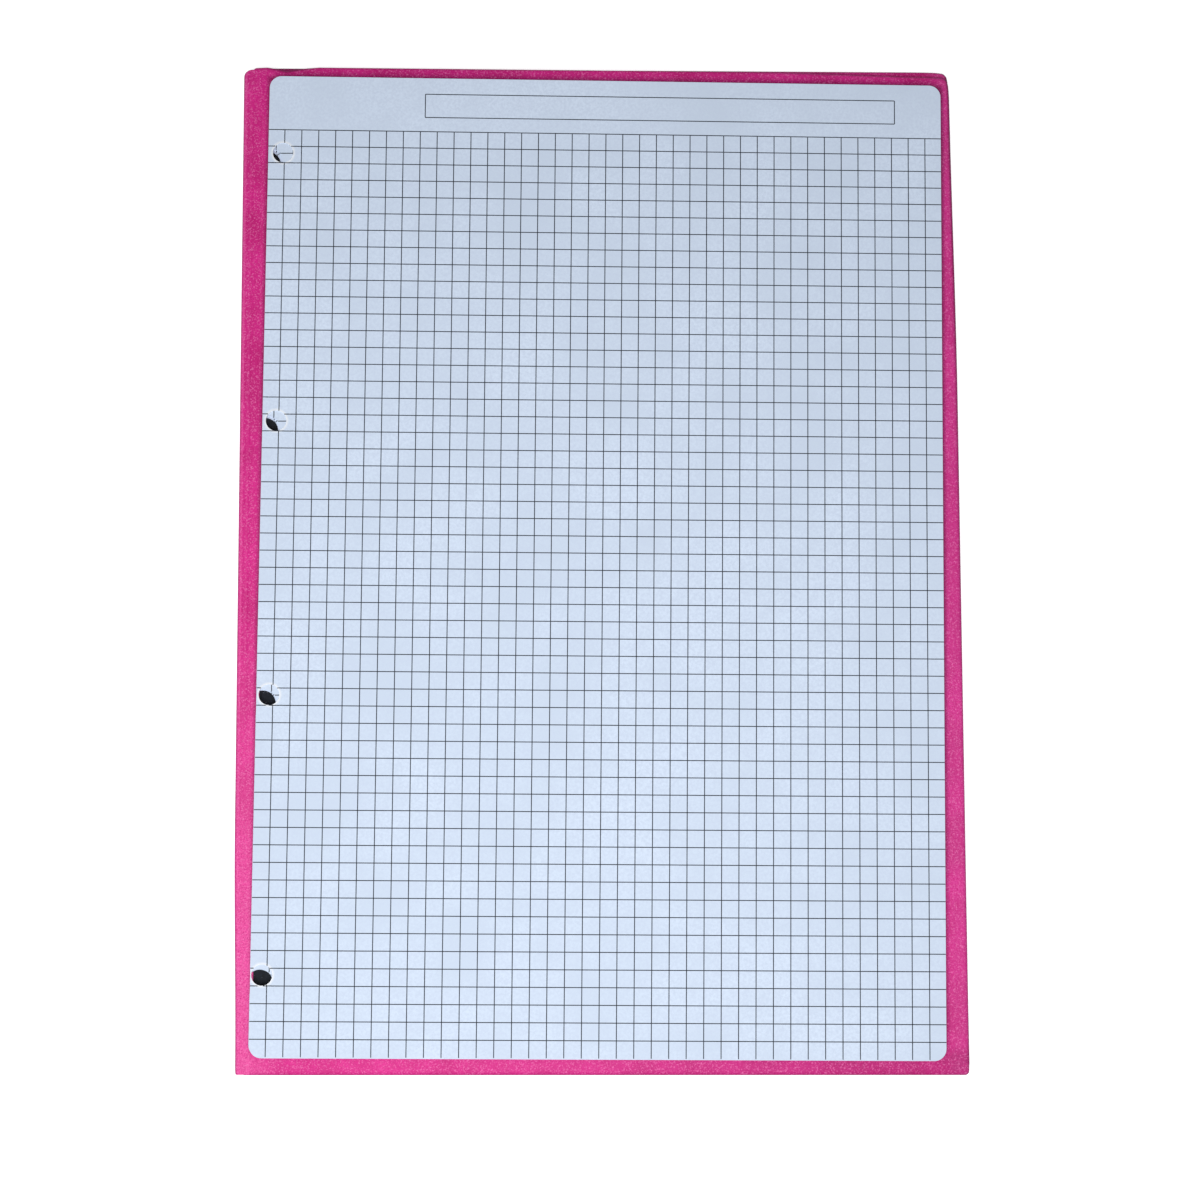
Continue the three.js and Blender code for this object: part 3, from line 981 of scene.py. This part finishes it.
def build_top_page(place, holes, surface):
    """The top sheet as one closed mesh with round holes and corners, fine enough to follow its waves."""
    corner_steps = 14
    straight = np.linspace(0, 1, 41)
    outline = outline_loop(
        place.half_width, place.half_height, PAGE_CORNER * MM, corner_steps, straight, straight)
    points = []
    edges = []

    def add_ring(ring):
        start = len(points)
        points.extend(ring)
        edges.extend((start + i, start + (i + 1) % len(ring)) for i in range(len(ring)))

    add_ring(outline)
    for x, y, radius in holes:
        add_ring(circle(x, y, radius, 72))
        for gap in (0.3, 0.8):
            ring = circle(x, y, radius + gap * MM, 48)
            points.extend(p for p in ring if p[0] > -place.half_width + 0.25 * MM)
    pitch = 4.0 * MM
    for column in range(-24, 25):
        for row in range(-35, 36):
            x = column * pitch
            y = row * pitch
            clear = min(page_limit(place, y) - abs(x), place.half_height - abs(y)) > 0.8 * MM
            clear = clear and all(math.hypot(x - hx, y - hy) > r + 1.6 * MM for hx, hy, r in holes)
            if clear:
                points.append((x, y))
    flat = [Vector(p) for p in points]
    flat, _, triangles, *_ = geometry.delaunay_2d_cdt(flat, edges, [], 0, 1e-8)

    def kept(triangle):
        x = sum(flat[i].x for i in triangle) / 3
        y = sum(flat[i].y for i in triangle) / 3
        inside = abs(x) <= page_limit(place, y) and abs(y) <= place.half_height
        return inside and all(math.hypot(x - hx, y - hy) > r for hx, hy, r in holes)

    triangles = [tuple(t) for t in triangles if kept(t)]
    used = sorted({i for t in triangles for i in t})
    index_of = {old: new for new, old in enumerate(used)}
    count = len(used)
    upper = []
    lower = []
    burr = []
    thickness = place.high - place.low
    for old in used:
        x, y = flat[old]
        lift = surface(x, y)
        off_rim = min(math.hypot(x - hx, y - hy) - radius for hx, hy, radius in holes)
        # strength of the painted highlight on the burr round the holes
        burr.append(1 - smooth_step(off_rim / (BURR_HIGHLIGHT_REACH * MM)))
        upper.append(place.world(x, y, place.high + lift))
        lower.append(place.world(x, y, place.high + lift - thickness))
    faces = []
    borders = {}
    for t in triangles:
        a, b, c = (index_of[i] for i in t)
        faces.append((a, b, c))
        faces.append((count + c, count + b, count + a))
        for p, q in ((a, b), (b, c), (c, a)):
            borders[(p, q)] = borders.get((p, q), 0) + 1
    for p, q in list(borders):
        if (q, p) not in borders:
            faces.append((q, p, count + p, count + q))
    made = piece("sheet_01_page", upper + lower, faces, PAPER, edge=burr + burr)
    weld(made)
    harden(made, 40)
    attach(made, "sheet_01")
    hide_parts("sheet_01")


def harden(made, degrees):
    """Keeps a crisp crease wherever two faces meet at more than the given angle."""
    made.data.set_sharp_from_angle(angle=math.radians(degrees))


def build_sheets():
    places = {number: Place(f"sheet_{number:02d}") for number in range(1, 17)}
    top_holes = punched_holes(places[1])
    surface = top_surface(places[1], top_holes)
    build_top_page(places[1], top_holes, surface)
    build_print(1, places[1], top_holes, Vector((0, 0)), 0.0, surface, 4 * MM)
    for number in range(2, 17):
        holes = punched_holes(places[number])
        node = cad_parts[f"sheet_{number:02d}"]
        node.data.materials.clear()
        node.data.materials.append(PAPER)
        build_print(
            number, places[number], holes, Vector(PRINT_STRAY) * MM, math.radians(PRINT_TURN),
            lambda x, y: 0.0, 1.0)


def build_card():
    place = Place("backing_card")
    card = soft_slab(
        "black_backing_card", place, place.low, place.high, PAGE_CORNER * MM, 0.12 * MM, CARD,
        "backing_card", reach=0.6 * MM, insets=[2 * MM])
    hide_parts("backing_card")


# ---- Stage ----

def build_lamp():
    lamp = bpy.data.lights.new("lamp_lower_left", "AREA")
    lamp.shape = "DISK"
    lamp.size = LAMP_SIZE * MM
    lamp.energy = LAMP_WATTS
    lamp.color = LAMP_COLOUR
    made = bpy.data.objects.new("lamp_lower_left", lamp)
    made.location = Vector(LAMP_PLACE) * MM
    aim = Vector(LAMP_AIM) * MM - made.location
    made.rotation_euler = aim.to_track_quat("-Z", "Y").to_euler()
    bpy.context.scene.collection.objects.link(made)


def build_stage():
    scene = bpy.context.scene
    scene.view_settings.view_transform = "Standard"
    half = FLOOR_HALF
    floor = piece("pale_table", [(-half, -half, 0), (half, -half, 0), (half, half, 0), (-half, half, 0)],
                  [(0, 1, 2, 3)], pale_floor(), smooth=False)
    floor.location.z = -FLOOR_DROP * MM
    floor.visible_diffuse = False
    floor.visible_glossy = False
    world = bpy.data.worlds.new("soft_room")
    world.use_nodes = True
    world.node_tree.nodes["Background"].inputs["Color"].default_value = ROOM_COLOUR
    world.node_tree.nodes["Background"].inputs["Strength"].default_value = ROOM_STRENGTH
    scene.world = world
    build_lamp()


def build_camera():
    camera_data = bpy.data.cameras.new("camera")
    camera_data.sensor_width = 36.0
    camera_data.lens = CAMERA_LENS
    camera_data.clip_start = 0.01
    camera = bpy.data.objects.new("camera", camera_data)
    place = Vector(CAMERA_PLACE) * MM
    forward = (Vector(CAMERA_AIM) * MM - place).normalized()
    right = forward.cross(Vector((0, 1, 0))).normalized()
    up = right.cross(forward)
    turned = Matrix.Rotation(math.radians(CAMERA_ROLL), 3, forward)
    axes = Matrix((turned @ right, turned @ up, -forward)).transposed()
    camera.matrix_world = Matrix.Translation(place) @ axes.to_4x4()
    bpy.context.scene.collection.objects.link(camera)
    bpy.context.scene.camera = camera


build_camera()
build_stage()
build_cover("back", "back_cover")
build_cover("front", "front_cover")
build_spine()
build_fold("back_fold_lining", "back_hinge_strip",
           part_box("back_hinge_strip")[1].z, +1)
build_fold("front_fold_lining", "front_hinge_strip",
           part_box("front_hinge_strip")[0].z, -1)
build_card()
build_sheets()
